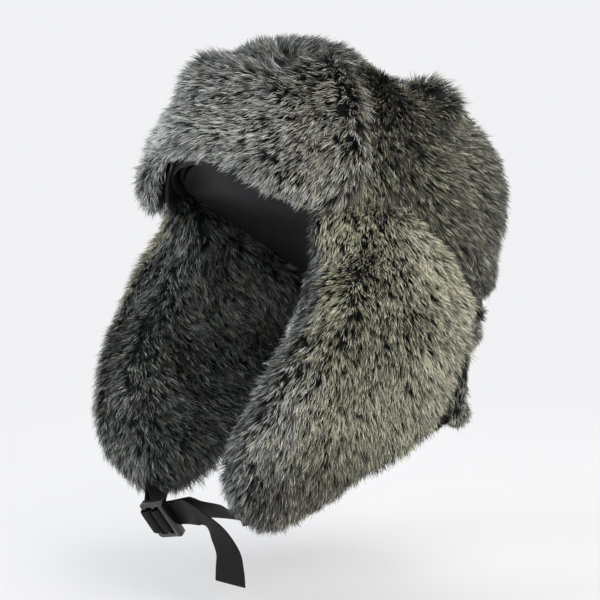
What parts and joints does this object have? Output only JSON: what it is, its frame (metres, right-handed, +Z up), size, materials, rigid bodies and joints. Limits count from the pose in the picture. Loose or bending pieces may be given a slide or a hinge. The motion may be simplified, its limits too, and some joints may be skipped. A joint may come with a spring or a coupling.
{
  "type": "trapper hat",
  "caption": "Faux fur trapper hat with a turned-up brow flap, long ear flaps, a nape flap and a webbing chin strap held by a ladder buckle.",
  "frame": {"origin": "middle of the head opening at temple height, where the wearer's head holds the hat", "axes": "+Z up, -Y the way the wearer faces, +X the wearer's left"},
  "size_m": [0.2618, 0.2718, 0.3693],
  "materials": {
    "silver_grey_fur": "long-pile faux fur, black at the root and silver at the tips",
    "dark_grey_fur": "shorter dark faux fur",
    "white_batting": "soft polyester fill",
    "black_lining": "satin",
    "black_shell": "matte",
    "black_webbing": "woven, matte",
    "black_plastic": "glossy"
  },
  "bodies": {
    "crown": {"crown_centre_fur": "silver_grey_fur", "crown_centre_batting": "white_batting", "crown_centre_lining": "black_lining", "crown_left_fur": "silver_grey_fur", "crown_left_batting": "white_batting", "crown_left_lining": "black_lining", "crown_right_fur": "silver_grey_fur", "crown_right_batting": "white_batting", "crown_right_lining": "black_lining", "crown_front_lining": "black_lining", "crown_front_batting": "white_batting", "crown_front_shell": "black_shell", "sweatband": "black_lining"},
    "brow_flap": {"brow_flap_backing": "black_shell", "brow_flap_batting": "white_batting", "brow_flap_fur": "silver_grey_fur"},
    "ear_flap_left": {"ear_flap_left_batting": "white_batting", "ear_flap_left_outer_fur": "silver_grey_fur", "ear_flap_left_inner_fur": "dark_grey_fur", "chin_strap": "black_webbing"},
    "ear_flap_right": {"ear_flap_right_batting": "white_batting", "ear_flap_right_outer_fur": "silver_grey_fur", "ear_flap_right_inner_fur": "dark_grey_fur", "buckle_tab": "black_webbing"},
    "nape_flap": {"nape_flap_batting": "white_batting", "nape_flap_outer_fur": "silver_grey_fur", "nape_flap_inner_fur": "dark_grey_fur"},
    "buckle": {"ladder_buckle": "black_plastic"}
  },
  "joints": [
    {"name": "brow_fold", "type": "hinge", "parent": "crown", "child": "brow_flap", "pos_m": [0, -0.12, 0.008], "axis": [1, 0, 0], "range_deg": [0, 110]},
    {"name": "ear_fold_left", "type": "hinge", "parent": "crown", "child": "ear_flap_left", "pos_m": [0.113, -0.055, 0], "axis": [0, -0.8746, 0.4848], "range_deg": [0, 150], "deforming": ["chin_strap"]},
    {"name": "ear_fold_right", "type": "hinge", "parent": "crown", "child": "ear_flap_right", "pos_m": [-0.113, -0.055, 0], "axis": [0, 0.8746, -0.4848], "range_deg": [0, 150], "deforming": ["chin_strap"]},
    {"name": "nape_fold", "type": "hinge", "parent": "crown", "child": "nape_flap", "pos_m": [0, 0.146, -0.09], "axis": [1, 0, 0], "range_deg": [0, 110]},
    {"name": "buckle_swing", "type": "hinge", "parent": "ear_flap_right", "child": "buckle", "pos_m": [-0.033, -0.1113, -0.2156], "axis": [0, -0.5736, 0.8192], "range_deg": [-28, 25], "deforming": ["chin_strap"]}
  ]
}
